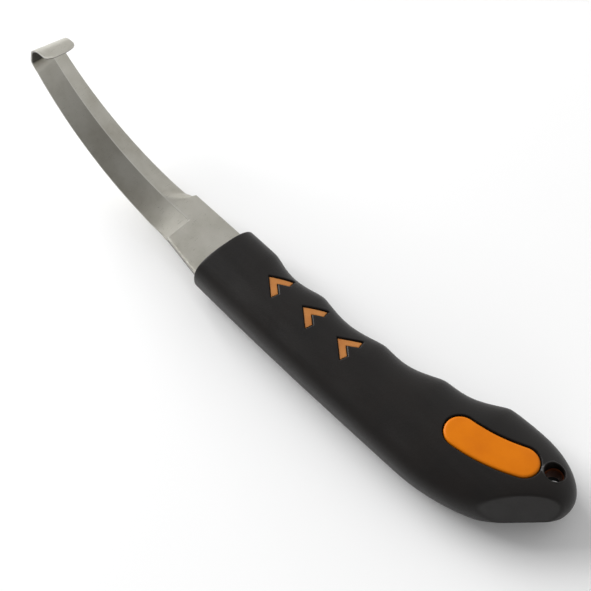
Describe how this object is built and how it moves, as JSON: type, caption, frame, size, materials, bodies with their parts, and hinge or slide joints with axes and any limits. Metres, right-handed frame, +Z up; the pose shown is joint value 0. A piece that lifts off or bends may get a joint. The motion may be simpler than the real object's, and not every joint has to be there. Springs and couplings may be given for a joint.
{
  "type": "hoof knife",
  "caption": "Farrier's hoof knife: curved double-edged hooked blade locked in a black soft-grip handle with orange palm pads, chevrons and a hang hole.",
  "frame": {"origin": "middle of the bounding box's base: the knife lies on its left side on the plane z = 0", "axes": "+X along the handle and blade towards the hooked tip; +Y across the blade towards the handle's straight spine, so the finger grooves face -Y; +Z up, out of the hang hole on the knife's right side, the way the blade curves"},
  "size_m": [0.2067, 0.038, 0.0472],
  "materials": {
    "steel": "satin ground steel",
    "orange_core": "smooth moulded plastic",
    "black_grip": "matt soft-touch moulding"
  },
  "bodies": {
    "root": {"blade": "steel", "core_right": "orange_core", "core_left": "orange_core", "grip_sleeve": "black_grip"}
  },
  "joints": []
}
